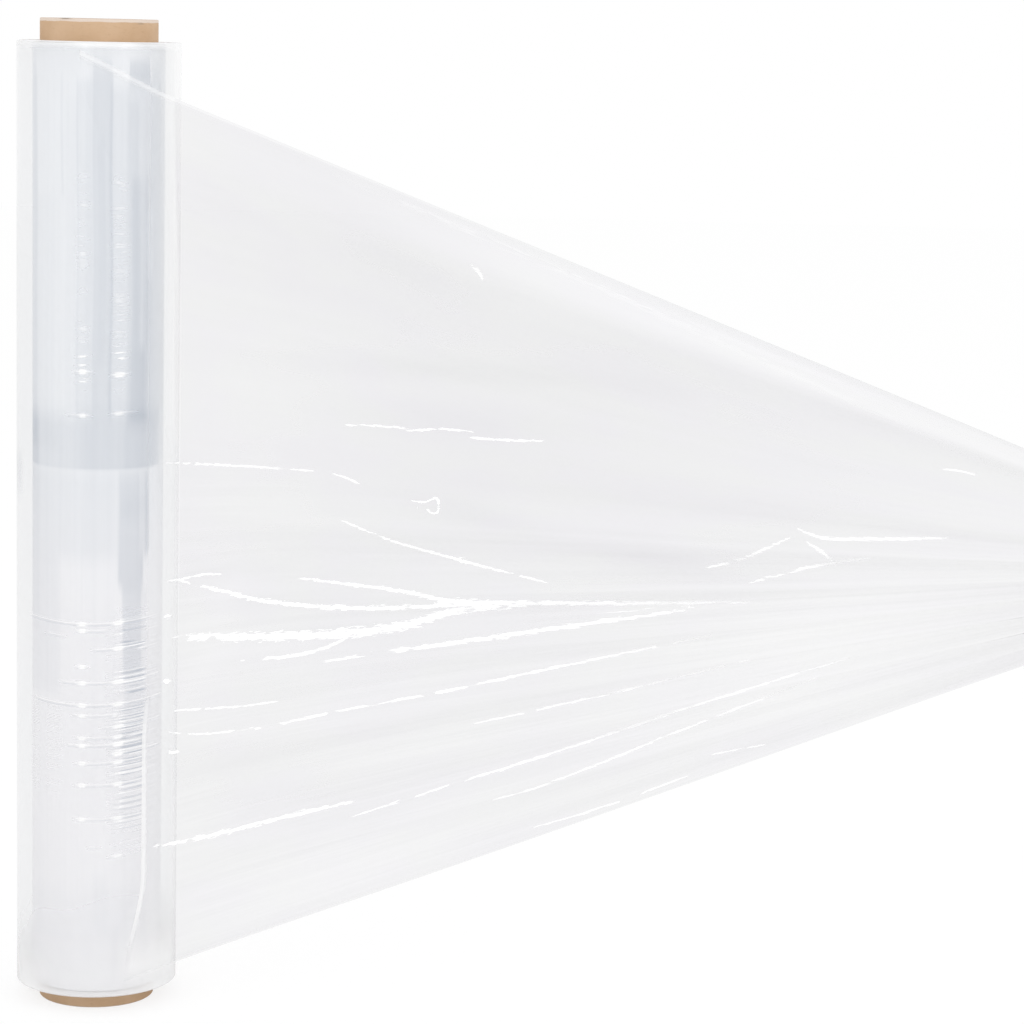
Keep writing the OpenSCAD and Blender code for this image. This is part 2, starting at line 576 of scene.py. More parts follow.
# %% The sheet's own coordinates
corner = np.empty(len(film_tail.data.loops), int)
film_tail.data.loops.foreach_get("vertex_index", corner)
uv = np.stack([sheet_u[corner], sheet_v[corner]], axis=1)
film_tail.data.uv_layers[0].data.foreach_set("uv", uv.astype(np.float32).ravel())
film_tail.data.uv_layers[0].name = "film_uv"
area = sum(face.area for face in film_tail.data.polygons)
print("area of the sheet, square metres:", round(area, 4))

# %% [markdown]
# ## Creases
#
# The creases are what the eye sees of a sheet this clear. Each was measured in the photograph
# as a few points, given here in pixels of its 1024 by 1024 frame. A smooth curve is laid through
# them, and every vertex of the sheet gets its distance from the nearest crease, with a sign that
# tells the two sides apart. The distance is smooth across a crease, so the finish can draw a
# line much finer than the mesh. Creases that cross mostly go into different layers, because a
# layer keeps only the nearest of its own creases.

# %% The routes of the creases: layer, width in pixels, strength, points
CREASES = [
    (0, 2.6, 0.9, [(471, 265), (478, 271), (483, 280)]),
    (0, 1.6, 0.8, [(345, 425), (375, 426), (411, 429)]),
    (1, 1.4, 0.7, [(404, 431), (441, 429), (474, 432)]),
    (0, 1.6, 0.85, [(463, 437), (500, 440), (544, 441)]),
    (2, 1.6, 0.92, [(164, 464), (174, 463), (240, 466), (318, 471)]),
    (2, 1.4, 0.8, [(328, 472), (344, 477), (360, 484)]),
    (0, 1.7, 0.95, [(336, 518), (390, 540), (456, 559), (505, 572), (549, 583)]),
    (1, 3.2, 1.0, [(456, 558), (463, 561), (470, 563)]),
    (1, 1.4, 0.85, [(411, 501), (425, 502), (437, 498), (438, 512), (431, 513), (424, 505)]),
    (0, 3.2, 1.0, [(174, 579), (215, 589), (260, 600), (310, 606), (370, 608), (440, 606),
                   (500, 604)]),
    (1, 1.6, 0.8, [(166, 581), (177, 580), (200, 575), (222, 574)]),
    (1, 3.0, 1.0, [(296, 578), (340, 583), (400, 591), (456, 601), (550, 603), (660, 603),
                   (754, 602)]),
    (0, 7.0, 1.0, [(438, 602), (462, 604), (492, 605)]),
    (2, 6.2, 1.0, [(168, 638), (220, 637), (290, 636), (360, 632), (410, 624), (456, 611),
                   (530, 604)]),
    (0, 2.4, 0.75, [(240, 661), (290, 656), (325, 648), (350, 636)]),
    (1, 3.2, 0.95, [(320, 662), (380, 653), (460, 642), (550, 629), (620, 619), (688, 610)]),
    (0, 2.0, 0.83, [(285, 722), (339, 711), (440, 692), (550, 669), (630, 652), (712, 635)]),
    (1, 1.6, 0.83, [(472, 724), (550, 707), (650, 684), (752, 659)]),
    (0, 3.4, 0.92, [(150, 847), (200, 838), (256, 824), (310, 811), (355, 801)]),
    (1, 1.8, 0.88, [(348, 818), (450, 785), (550, 754), (700, 704), (852, 657)]),
    (0, 1.6, 0.83, [(490, 801), (550, 783), (680, 731), (818, 677)]),
    (2, 1.4, 0.78, [(532, 828), (600, 808), (690, 775)]),
    (2, 1.4, 0.78, [(698, 757), (735, 750), (768, 744)]),
    (2, 1.5, 0.82, [(166, 711), (231, 707), (281, 701)]),
    (2, 1.5, 0.82, [(166, 732), (200, 734), (257, 728), (329, 714)]),
    (0, 2.8, 1.0, [(163, 616), (167, 616), (171, 615)]),
    (0, 2.8, 1.0, [(163, 681), (167, 681), (171, 680)]),
    (1, 2.4, 1.0, [(168, 752), (173, 752), (179, 751)]),
    (0, 2.0, 0.8, [(706, 568), (741, 559), (767, 548), (792, 537)]),
    (1, 2.2, 0.95, [(796, 528), (824, 538), (881, 539), (949, 538)]),
    (0, 2.2, 0.95, [(806, 542), (822, 552), (835, 564)]),
    (2, 2.2, 0.85, [(746, 584), (790, 572), (831, 563), (872, 558)]),
    (0, 1.4, 0.8, [(942, 469), (960, 471), (977, 475)]),
    (2, 5.0, 0.10, [(330, 172), (520, 254), (760, 360), (1024, 478)]),
    (1, 7.0, 0.08, [(390, 196), (600, 282), (800, 368), (1024, 462)]),
]
PX_MM = 0.535
RIDGE_MM = 2.2


def smooth_route(knots, step=3.0):
    """A Catmull-Rom curve through the points, cut into short pieces."""
    knots = np.array(knots, float)
    knots = np.vstack([2 * knots[0] - knots[1], knots, 2 * knots[-1] - knots[-2]])
    curve = [knots[1]]
    for a, b, c, d in zip(knots, knots[1:], knots[2:], knots[3:]):
        count = max(2, int(np.hypot(*(c - b)) / step))
        for t in (np.arange(count) + 1) / count:
            bend = (2 * b) + (c - a) * t + (2 * a - 5 * b + 4 * c - d) * t**2
            curve.append(0.5 * (bend + (3 * b - a - 3 * c + d) * t**3))
    return np.array(curve)


def distance_to(route, px, py):
    """Signed distance from each pixel place to the route, and how far along it, 0 to 1."""
    best = np.full(len(px), 1e9)
    sign, share = np.ones(len(px)), np.zeros(len(px))
    lengths = np.hypot(*(route[1:] - route[:-1]).T)
    gone = np.concatenate([[0], np.cumsum(lengths)])
    for i, (a, b) in enumerate(zip(route, route[1:])):
        ax, ay = px - a[0], py - a[1]
        dx, dy = b - a
        t = np.clip((ax * dx + ay * dy) / (lengths[i] ** 2), 0, 1)
        away = np.hypot(ax - t * dx, ay - t * dy)
        near = away < best
        best = np.where(near, away, best)
        sign = np.where(near, np.where(ax * dy - ay * dx > 0, 1, -1), sign)
        share = np.where(near, (gone[i] + t * lengths[i]) / gone[-1], share)
    return best * sign, share


# %% Each vertex learns its distance from the creases
LAYERS = 3
FADE_PX = 9.0
KNOWN_PX = 30.0
FAR = 100.0
sheet_px, sheet_py = pixels_of(sheet * MM)
crease_distance = np.full((len(sheet), LAYERS), FAR)
crease_strength = np.zeros((len(sheet), LAYERS))
nearest_px = np.full((len(sheet), LAYERS), KNOWN_PX)
ridge = np.zeros(len(sheet))
for layer, width, strength, knots in CREASES:
    route = smooth_route(knots)
    low, high = route.min(0) - KNOWN_PX, route.max(0) + KNOWN_PX
    inside = (sheet_px > low[0]) & (sheet_px < high[0])
    inside = inside & (sheet_py > low[1]) & (sheet_py < high[1])
    rows = np.flatnonzero(inside)
    away, share = distance_to(route, sheet_px[rows], sheet_py[rows])
    taper = np.sqrt(np.clip(4 * share * (1 - share), 0, 1))
    kept = strength * (0.35 + 0.65 * taper) * smooth((FADE_PX - np.abs(away)) / 3)
    kept = kept * smooth(share / 0.02) * smooth((1 - share) / 0.02)
    scaled = away / (0.5 * width * (0.4 + 0.6 * taper))
    closer = np.abs(away) < nearest_px[rows, layer]
    picked = rows[closer]
    nearest_px[picked, layer] = np.abs(away[closer])
    crease_distance[picked, layer] = scaled[closer]
    crease_strength[picked, layer] = kept[closer]
    lift = strength * taper * np.exp(-((away * PX_MM / RIDGE_MM) ** 2)) * min(1.0, width / 3)
    ridge[rows] = np.maximum(ridge[rows], lift)
print("crease layers cover", int((crease_strength > 0.05).sum()), "vertices")

# %% [markdown]
# A crease is a sharp little ridge. It is raised in the mesh, and the finish paints it as a
# white highlight as well, so that it catches the light from every side.

# %% Raise the creases
RIDGE_HEIGHT = 0.05
normals = np.empty(len(film_tail.data.vertices) * 3)
film_tail.data.vertices.foreach_get("normal", normals)
normals = normals.reshape(-1, 3)
write_points(film_tail, (sheet + normals * (RIDGE_HEIGHT * ridge)[:, None]) * MM)
add_attribute(film_tail, "crease_distance", crease_distance, "FLOAT_VECTOR")
add_attribute(film_tail, "crease_strength", crease_strength, "FLOAT_VECTOR")

# %% [markdown]
# Broad, soft patches of the sheet look a little greyer where it is slack and sees the darker
# side of the room. They are laid as soft ellipses: centre, half sizes and slope in pixels, and
# how grey. A number below zero makes the place paler.

# %% Soft grey patches
PATCHES = [
    (450, 371, 170, 13, 4, 0.55),
    (455, 421, 120, 20, 5, 0.45),
    (478, 517, 70, 14, 14, 0.60),
    (655, 560, 75, 13, 8, 0.50),
    (400, 262, 70, 20, 25, 0.25),
    (470, 490, 210, 150, 0, 0.40),
    (700, 470, 190, 70, 12, 0.25),
    (310, 590, 110, 50, 0, 0.30),
    (250, 770, 110, 30, 0, 0.35),
    (240, 690, 80, 20, 0, 0.30),
    (820, 650, 230, 70, -15, -0.75),
    (330, 870, 160, 30, -18, -0.30),
]
grey = np.zeros(len(sheet))
for cx, cy, half_x, half_y, slope, amount in PATCHES:
    c, s = math.cos(math.radians(slope)), math.sin(math.radians(slope))
    dx, dy = sheet_px - cx, sheet_py - cy
    along, across = (dx * c + dy * s) / half_x, (dy * c - dx * s) / half_y
    grey += amount * np.exp(-(along**2 + across**2))
add_attribute(film_tail, "grey_patch", grey)
bpy.ops.object.shade_smooth()
finish_piece("film_tail", film_tail)

# %% [markdown]
# ## Finish of the outer turns
#
# Clear film over clear film is glossy and partly see-through. The finish lets the inner turns
# show by its alpha, and paints the light and shade of the ripples. Long ripples run round the
# roll as thin lines of painted highlight with a line of painted shade under them. Each vertex
# stores how far it is from them, so that a line can be finer than the mesh. Where the two glints
# of the lamps cross a ripple, a painted glint flashes white. Between them lie many short, dense
# ones, whose painted light and shade come from noise that changes with the height alone. All of
# them climb a little towards both sides of the roll.

# %% Long ripples: height at the front in millimetres, from angle, to angle, how strong
RIPPLES = [
    (341.5, -9, 3, 0.8),
    (339.5, 17, 28, 0.9),
    (319.0, -14, 2, 0.6),
    (319.6, 16, 34, 0.5),
    (210.0, -46, 58, 1.0),
    (206.5, -7, 14, 0.8),
    (203.0, -30, -17, 0.6),
    (196.5, 5, 42, 0.9),
    (187.5, -7, 0, 0.8),
    (178.8, -18, 56, 0.9),
    (167.0, -40, 58, 1.0),
    (161.5, -10, 20, 0.7),
    (155.0, 10, 58, 0.6),
    (149.5, -8, 26, 0.7),
    (145.5, -14, 40, 0.8),
    (140.5, 17, 58, 0.9),
    (136.0, -8, 44, 0.8),
    (124.3, -8, 42, 0.8),
    (106.0, -8, 40, 0.7),
    (91.0, 2, 9, 0.4),
    (85.5, 16, 26, 0.4),
]
RIPPLE_CLIMB = 4.4
# Two columns of painted glints, where the lamps' glints fall: angle round the roll and width, in
# degrees
GLINTS = [(-3.4, 2.4), (22.0, 3.0)]

# %% Each vertex of the outer turns learns its distance from the long ripples
FADE_FROM, FADE_BY = 4.0, 1.3


def between(values, low, high, soft):
    """1 between low and high and 0 outside, with edges as soft as given."""
    rise = smooth((values - low + soft) / (2 * soft))
    return rise * (1 - smooth((values - high + soft) / (2 * soft)))


def around(points):
    """The angle of each point round the roll in degrees, from the front towards the sheet."""
    return np.degrees(np.arctan2(points[:, 0], -points[:, 1]))


points = read_points(film_wound) / MM
height, degrees = points[:, 2], around(points)
level = height - RIPPLE_CLIMB * (points[:, 0] / FILM_R) ** 2
ripple_distance = np.full((len(points), LAYERS), FAR)
ripple_strength = np.zeros((len(points), LAYERS))
for i, (at, first, last, amount) in enumerate(sorted(RIPPLES)):
    layer = i % LAYERS
    away = level - at
    closer = np.abs(away) < np.abs(ripple_distance[:, layer])
    kept = amount * between(degrees, first, last, 3)
    kept = kept * smooth((FADE_FROM - np.abs(away)) / FADE_BY)
    ripple_distance[closer, layer] = away[closer]
    ripple_strength[closer, layer] = kept[closer]
add_attribute(film_wound, "ripple_distance", ripple_distance, "FLOAT_VECTOR")
add_attribute(film_wound, "ripple_strength", ripple_strength, "FLOAT_VECTOR")

# %% Zones of the outer turns: short dense ripples, painted lighter right side, greyer left band
right = between(degrees, 24, 43, 2) + between(degrees, 15, 54, 4) * 0.25
right = right * between(height, 92, 208, 8) * (0.5 + 0.5 * smooth((height - 112) / 20))
left = between(degrees, -46, -37, 2) + between(degrees, -32, -17, 3) * 0.8
left = left * between(height, 118, 172, 8)
# The right side is painted lighter, most near its edge in the upper part, against the shade that
# falls there.
side = between(degrees, 48, 100, 6) * 0.12
upper = smooth((height - 280) / 50)
edge = between(degrees, 64, 100, 6) * 0.25 + between(degrees, 74, 100, 4) * 0.4
side = side + edge * upper
band = between(degrees, -100, -58, 3) * between(height, 277, 291, 2) * 0.25
zones = np.stack([right + left * 0.1, side, band], axis=1)
add_attribute(film_wound, "zones", zones, "FLOAT_VECTOR")
print("ripples and zones laid on", len(points), "vertices")

# %% Outer turns
def stored(f, name):
    """The three numbers that an attribute holds on each vertex."""
    return f.parts(f.node("ShaderNodeAttribute", {"attribute_name": name}, out="Vector"))


def clear_turns():
    f = Finish("clear_turns")
    place = f.place()
    x, y, z = f.parts(place)
    z = z * TO_MM
    degrees = f.around(x, y)
    level = z - RIPPLE_CLIMB * (x / (FILM_R * MM)) ** 2.0
    glint = degrees.hump(*GLINTS[0]) + degrees.hump(*GLINTS[1])
    away, much = stored(f, "ripple_distance"), stored(f, "ripple_strength")
    fine, side, band = stored(f, "zones")
    pale, dark, painted_glint_line = 0.0, 0.0, 0.0
    # Each long ripple gets a line of painted highlight, a painted glint line just under it, and
    # a line of painted shade lower down.
    for distance, reach in zip(away, much):
        pale = pale + distance.line(0.0, 1.6) * reach
        painted_glint_line = painted_glint_line + distance.line(-0.3, 0.65) * reach
        dark = dark + distance.line(-1.1, 1.8) * reach
    # The short dense ripples get painted shade and painted highlight from noise in the height,
    # in broken patches.
    heights = f.node("ShaderNodeCombineXYZ", {}, {0: level, 1: 0.0, 2: 0.0})
    dense = f.noise(heights, 0.66, 1.0, 0.5, "2D")
    broken = f.noise(f.scaled(place, (40, 40, 240)), 1.0, 1.0).ramp(0.36, 0.52)
    strong = fine * broken
    edges = 1.0 - (x.size() * TO_MM).ramp(34.0, 38.0)
    fine_painted_shade = dense.ramp(0.52, 0.60) * strong * edges
    fine_painted_highlight = (1.0 - dense.ramp(0.38, 0.45)) * strong * edges
    # Painted glints stand in the two columns: on the flash line of each ripple, and as short
    # ticks in the upper part of the roll.
    ticks = f.noise(f.scaled(place, (60, 60, 520)), 1.0, 1.0).ramp(0.54, 0.62)
    bunched = f.noise(f.scaled(place, (0, 0, 45)), 1.0, 1.0).ramp(0.38, 0.56)
    bright = 0.35 + 0.9 * z.within(334, 353, 3)
    painted_glints = glint * (painted_glint_line * 1.6 + ticks * bunched * z.within(333, 440, 4) * bright)
    painted_glints = painted_glints + degrees.hump(22.0, 3.0) * fine_painted_highlight * 2.0
    # The top rim, where the last turns curl over, gets a painted highlight, strongest towards
    # the front.
    rim = z.ramp(505.0, 508.0) * (0.6 + 0.4 * degrees.within(-10, 34, 8))
    # The lowest turns are painted paler, most towards both sides and the right, against the
    # shade near the floor.
    foot = 0.24 + 0.36 * (x.size() * TO_MM).ramp(12.0, 38.0)
    foot = foot * (1.0 - z.ramp(10.0, 44.0))
    low_side = 0.3 * (x * TO_MM).ramp(14.0, 24.0) * z.ramp(14.0, 26.0)
    foot = foot + low_side * (1.0 - z.ramp(28.0, 60.0))
    cloudy = f.noise(f.scaled(place, (14, 14, 9)), 1.0, 2.0)
    # The painted highlights, glints and lighter zones whiten the film and make it more opaque,
    # and the painted shade greys it.
    white = (pale * 0.55 + fine_painted_highlight * 0.5 + painted_glints + rim * 0.8 + foot + side).clamp()
    shade = (dark * 0.75 + fine_painted_shade * 0.9 + band).clamp()
    haze = 1.0 - z.ramp(30.0, 75.0)
    alpha = 0.25 + 0.06 * cloudy + 0.45 * shade + 0.6 * white + 0.04 * haze
    tint = f.blend(shade, colour(238, 239, 241), colour(184, 190, 200))
    height = pale * 0.4 + f.noise(f.scaled(place, (30, 30, 60)), 1.0, 1.0) * 0.1
    return f.surface(
        Base_Color=f.blend(white * 2.0, tint, colour(255, 255, 255)),
        Roughness=0.10 + 0.10 * cloudy,
        Alpha=alpha.clamp(),
        Normal=f.bump(height, 0.0006, 0.6),
    )


# %% [markdown]
# The end faces show the edges of all the turns, stacked like the pages of a book. That is
# nearly opaque and white, with faint rings.

# %% End faces


def stacked_edges():
    f = Finish("stacked_edges")
    x, y, _ = f.parts(f.place())
    radius = f.node("ShaderNodeMath", {"operation": "SQRT"}, {0: x * x + y * y}) * TO_MM
    ring_place = f.node("ShaderNodeCombineXYZ", {}, {0: radius, 1: 0.0, 2: 0.0})
    rings = f.noise(ring_place, 2.6, 4.0, 0.7, "2D")
    patches = f.noise(f.scaled(f.place(), (60, 60, 60)), 1.0, 2.0)
    shade = f.blend(rings.ramp(0.35, 0.7), colour(254, 254, 255), colour(244, 245, 248))
    return f.surface(
        Base_Color=f.blend(patches.ramp(0.5, 0.8) * 0.4, shade, colour(240, 242, 245)),
        Roughness=0.28 + 0.15 * rings,
        Alpha=0.80,
        Normal=f.bump(rings, 0.0003, 0.4),
    )


def assign(piece, materials, chooser):
    """Gives each face the material that chooser() names by its number."""
    piece.data.materials.clear()
    for material in materials:
        piece.data.materials.append(material)
    for face in piece.data.polygons:
        face.material_index = chooser(face)


def is_end(face):
    """1 for an end face or the wall on the tube, and 0 for the outer wall and its rims."""
    return int(abs(face.normal.z) > 0.8 or face.center.xy.length < (FILM_R - 2) * MM)


assign(film_wound, [clear_turns(), stacked_edges()], is_end)
print("outer turns finished")

# %% [markdown]
# ## Finish of the inner turns
#
# Deep in the roll the film mirrors the room in long upright streaks, because every turn is a
# little uneven in the same places. The finish paints these reflections: noise that is stretched
# along the roll gives streaks all round. The broad ones that show on the front are placed by
# their angle round the roll, counted in degrees from the front towards the drawn-off side, and
# by their heights in millimetres. A belt of painted shade runs round a little above half height
# and fades out behind. Both are stored on the vertices.

# %% Painted reflections and shade of the inner turns: from angle, to angle, softness, lowest,
# highest, how dark
# A streak with an amount below zero is paler.
STREAKS = [
    (-90, -60, 3.0, 300, 505, 0.17),
    (-62, -30, 6.0, 300, 430, 0.04),
    (-27, -24.5, 1.0, 430, 500, 0.10),
    (-23, -10, 2.0, 320, 480, 0.04),
    (-12, 1.5, 1.0, 317, 490, 0.12),
    (2, 19, 1.2, 317, 502, 0.20),
    (7, 13, 1.5, 345, 460, 0.05),
    (17, 33, 1.5, 317, 486, 0.14),
    (33, 60, 2.0, 314, 440, 0.18),
    (33, 60, 2.0, 440, 490, 0.14),
    (37, 55, 2.0, 314, 440, 0.13),
    (33, 44, 2.0, 352, 440, 0.05),
    (46, 52, 1.5, 352, 440, -0.07),
    (33, 44, 2.0, 440, 480, 0.10),
    (33, 50, 2.0, 314, 352, 0.08),
    (49, 62, 2.0, 314, 390, 0.06),
    (34, 57, 1.0, 489, 501, 0.34),
    (60, 76, 3.0, 314, 500, 0.14),
    (-90, 90, 6.0, 493, 509, -0.09),
    (26, 58, 2.0, 243, 288, 0.20),
    (46.5, 52.5, 1.5, 243, 288, -0.09),
    (54, 60, 1.5, 243, 288, 0.14),
    (60, 66, 1.5, 243, 288, 0.11),
    (28, 57, 2.0, 262, 276, 0.06),
    (28, 57, 2.0, 248, 252, 0.05),
    (26, 51, 1.5, 227, 243, 0.28),
    (30, 49, 1.5, 178, 228, 0.23),
    (31, 49, 1.5, 140, 178, 0.09),
    (49, 58, 1.5, 128, 228, 0.04),
    (57, 85, 3.0, 40, 288, -0.18),
    (23.5, 29, 1.5, 120, 228, -0.06),
    (-90, -28, 4.0, 170, 243, 0.08),
    (-90, -56, 3.0, 205, 288, 0.06),
    (-90, 90, 8.0, 36, 66, 0.03),
    (4, 18, 3.0, 42, 74, 0.05),
    (-90, 60, 8.0, 242, 288, 0.05),
    (-90, 22, 5.0, 242, 288, 0.04),
]
# The belt of painted shade: from angle, to angle, softness, how dark
SHADE_BELT = [
    (-90, 75, 6.0, 0.05),
    (-105, 75, 6.0, 0.05),
    (-120, 75, 6.0, 0.05),
    (-135, 75, 6.0, 0.05),
    (-90, -56, 3.0, 0.06),
    (-105, -56, 3.0, 0.07),
    (-56, -14, 4.0, -0.03),
    (-10, 60, 4.0, 0.05),
    (30, 76, 3.0, 0.08),
]
STREAK_SOFT = 5
BELT_FADE, BELT_TOP = 310.0, 325.0

# %% How dark each place of the inner turns is painted, by its reflections and its belt of shade
points = read_points(film_depth) / MM
height, degrees = points[:, 2], around(points)
drift = 0.5 * np.sin(height / 17 + np.radians(2 * degrees)) + 0.4 * np.sin(height / 41 + 1)
degrees = degrees + drift
painted_darkness = np.zeros(len(points))
for first, last, soft, low, high, amount in STREAKS:
    across = amount * between(degrees, first, last, soft)
    painted_darkness += across * between(height, low, high, STREAK_SOFT)
belt_shade = smooth((height - BELT_LOW + 1) / 2)
belt_shade = belt_shade * (1 - smooth((height - BELT_FADE) / (BELT_TOP - BELT_FADE)))
for first, last, soft, amount in SHADE_BELT:
    painted_darkness += amount * between(degrees, first, last, soft) * belt_shade
add_attribute(film_depth, "streaks", painted_darkness)
print("streaks laid on", len(points), "vertices")

# %% Inner turns


def silver_depth():
    f = Finish("silver_depth")
    place = f.place()
    _, y, z = f.parts(place)
    z = z * TO_MM
    # Noise paints long and thin streaks of reflection, the long ones darker behind.
    long_streaks = f.noise(f.scaled(place, (90, 90, 1.6)), 1.0, 3.0, 0.6)
    thin_streaks = f.noise(f.scaled(place, (300, 300, 3.0)), 1.0, 2.0)
    upper = z.ramp(200.0, 320.0)
    behind = y.ramp(-0.005, 0.02) * 0.28
    dark = long_streaks.ramp(0.45, 0.75) * (0.05 + behind)
    dark = dark + (thin_streaks - 0.5) * (0.04 + 0.08 * upper)
    dark = dark + f.node("ShaderNodeAttribute", {"attribute_name": "streaks"}, out="Fac")
    pale = f.blend(upper, colour(248, 247, 249), colour(243, 245, 248))
    return f.surface(
        Base_Color=f.blend(dark.clamp(), pale, colour(90, 116, 146)),
        Roughness=0.30,
        Normal=f.bump(thin_streaks, 0.0003, 0.5),
    )


assign(film_depth, [silver_depth()], lambda face: 0)
print("inner turns finished")

# %% [markdown]
# ## Finish of the drawn-off sheet
#
# One layer of film only dims what is behind it a little. Its alpha is low and its colour is a
# light grey, so that over a white floor it shows as a faint grey. A crease is painted as an
# almost opaque, white highlight, and it glows a very little, as painted light for the lamps that
# it would mirror. Fine streaks follow the rows of the sheet through its UV map.

# %% Sheet
CREASE_GLOW = 0.12


def drawn_film():
    f = Finish("drawn_film")
    own = f.node("ShaderNodeUVMap", {"uv_map": "film_uv"})
    u, v, _ = f.parts(own)
    away, much = stored(f, "crease_distance"), stored(f, "crease_strength")
    patch = f.node("ShaderNodeAttribute", {"attribute_name": "grey_patch"}, out="Fac")
    ragged = f.noise(f.scaled(own, (60, 420, 1)), 1.0, 2.0, 0.7, "2D")
    gaps = 1.0 - f.noise(f.scaled(own, (30, 110, 1)), 1.0, 1.0, 0.5, "2D").ramp(0.35, 0.44)
    # Each crease is painted as a white highlight, with gaps where it is weak.
    crease = 0.0
    for distance, strength in zip(away, much):
        line = 1.0 - (distance.size() + (ragged - 0.5) * 5.0).ramp(0.6, 1.5)
        firm = strength.ramp(0.78, 0.98)
        crease = crease + line * strength * (1.0 - gaps * (1.0 - firm))
    crease = (crease * (1.0 + 0.8 * ragged)).clamp()
    rows = f.noise(f.scaled(own, (2.2, 70, 1)), 1.0, 4.0, 0.6, "2D")
    hairs = f.noise(f.scaled(own, (5.0, 330, 1)), 1.0, 3.0, 0.65, "2D")
    clouds = f.noise(f.scaled(own, (7, 13, 1)), 1.0, 2.0, 0.5, "2D")
    lower = 1.0 - v.ramp(0.42, 0.62)
    streaks = (rows - 0.5) * (0.1 + 0.30 * lower) + (hairs - 0.5) * (0.03 + 0.14 * lower)
    streaks = streaks + (clouds - 0.5) * 0.25
    x, _, _ = f.parts(f.place())
    beside = x.ramp(0.0426, 0.0450)
    # The top and bottom edges of the sheet and the line where it leaves the roll get painted
    # highlights.
    top_edge_highlight = 1.0 - (1.0 - v).ramp(0.003, 0.0115 - 0.0065 * beside)
    low_edge_highlight = 1.0 - v.ramp(0.001, 0.003)
    peel_highlight = (1.0 - u.ramp(0.006, 0.012)) * v.within(0.045, 0.30, 0.04)
    white = crease + top_edge_highlight * (0.36 - 0.16 * beside) + low_edge_highlight * 0.2 + peel_highlight * 0.7
    white = white.clamp()
    # Along the top edge the sheet is painted paler and more lilac, against the shade of its
    # gathers.
    pale_top_band = v.ramp(0.88, 0.94) * u.ramp(0.3, 0.6)
    body = (0.32 + 0.16 * patch + 0.22 * streaks) * (1.0 - 0.25 * pale_top_band)
    body = body * (0.03 + 0.97 * beside)
    lilac = f.blend(clouds.ramp(0.35, 0.65), colour(206, 206, 208), colour(209, 206, 215))
    grey_film = f.blend((0.2 + streaks * 2.0).clamp(), lilac, colour(190, 190, 193))
    grey_film = f.blend(pale_top_band * 0.25, grey_film, colour(224, 221, 231))
    # The creases glow a little as painted light, for the lamps that they would mirror.
    return f.surface(
        Base_Color=f.blend(white * 3.0, grey_film, colour(255, 255, 255)),
        Roughness=0.30,
        Alpha=(body + white * 0.95).clamp(),
        Emission_Color=f.blend(crease, colour(0, 0, 0), colour(255, 255, 255)),
        Emission_Strength=CREASE_GLOW,
        Normal=f.bump(rows * 0.3, 0.0010, 0.5),
    )


assign(film_tail, [drawn_film()], lambda face: 0)
print("sheet finished")

# %% [markdown]
# ## Finish of the tube
#
# The tube is wound from strips of brown paper, so it has a fine grain and a slanting seam. Its
# sawn ends are paler and rough. Near the floor it is painted darker, as the shade under the
# film, and two dark spots on its top edge are painted shade of the bore.

# %% Paperboard


def paperboard():
    f = Finish("paperboard")
    place = f.place()
    x, y, z = f.parts(place)
    z = z * TO_MM
    degrees = f.around(x, y)
    radius = f.node("ShaderNodeMath", {"operation": "SQRT"}, {0: x * x + y * y}) * TO_MM
    fibres = f.noise(f.scaled(place, (300, 300, 900)), 1.0, 4.0, 0.65)
    blotches = f.noise(f.scaled(place, (40, 40, 40)), 1.0, 3.0)
    climb = z / 105.0 + degrees / 360.0
    turns = f.node("ShaderNodeMath", {"operation": "FRACT"}, {0: climb})
    seam = 1.0 - (turns - 0.5).size().ramp(0.002, 0.009)
    frayed = f.noise(f.scaled(place, (160, 160, 260)), 1.0, 2.0) * 0.9
    sawn = (z + frayed).ramp(TUBE_TOP - 1.4, TUBE_TOP - 1.0) + (1.0 - z.ramp(0.1, 0.6))
    # Two dark spots on the top edge are painted shade of the bore.
    painted_bore_shade = degrees.hump(-27, 5.0) * z.ramp(TUBE_TOP - 0.8, TUBE_TOP - 0.4)
    painted_bore_shade = painted_bore_shade + degrees.hump(51, 3.5) * z.within(TUBE_TOP - 2.6, TUBE_TOP - 1.6, 0.3) * 0.5
    plies = f.noise(f.node("ShaderNodeCombineXYZ", {}, {0: radius, 1: 0.0, 2: 0.0}), 3.0, 2.0)
    kraft = f.blend(blotches.ramp(0.35, 0.7), colour(213, 181, 148), colour(203, 169, 134))
    kraft = f.blend(fibres.ramp(0.55, 0.8) * 0.4, kraft, colour(176, 140, 106))
    kraft = f.blend(seam * 0.4, kraft, colour(148, 113, 82))
    # Painted shade darkens the tube near the floor, under the film.
    kraft = f.blend((1.0 - z.ramp(3.0, 16.0)) * 0.25, kraft, colour(160, 132, 104))
    pale = f.blend(plies.ramp(0.4, 0.6) * 0.5, colour(230, 214, 200), colour(206, 182, 160))
    kraft = f.blend(sawn.clamp(), kraft, pale)
    height = fibres + seam * -0.6
    return f.surface(
        Base_Color=f.blend(painted_bore_shade.clamp() * 0.8, kraft, colour(150, 136, 122)),
        Roughness=0.82 + 0.12 * (fibres - 0.5),
        Normal=f.bump(height, 0.0003, 0.6),
    )


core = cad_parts["core"]
board = paperboard()
if core.data.materials:
    for i in range(len(core.data.materials)):
        core.data.materials[i] = board
else:
    core.data.materials.append(board)
print("tube finished")

# %% [markdown]
# ## What rides on what
#
# Nothing moves on a roll, so every piece rides on the one body. The three pieces of film stand
# for the one solid of the film. Stretch film is stretched by about half as it is drawn off, and
# narrows as it does.

# %% Tell the frame about the pieces
for piece in (film_wound, film_depth, film_tail):
    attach(piece, "root")
    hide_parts("film")
    piece.visible_shadow = False

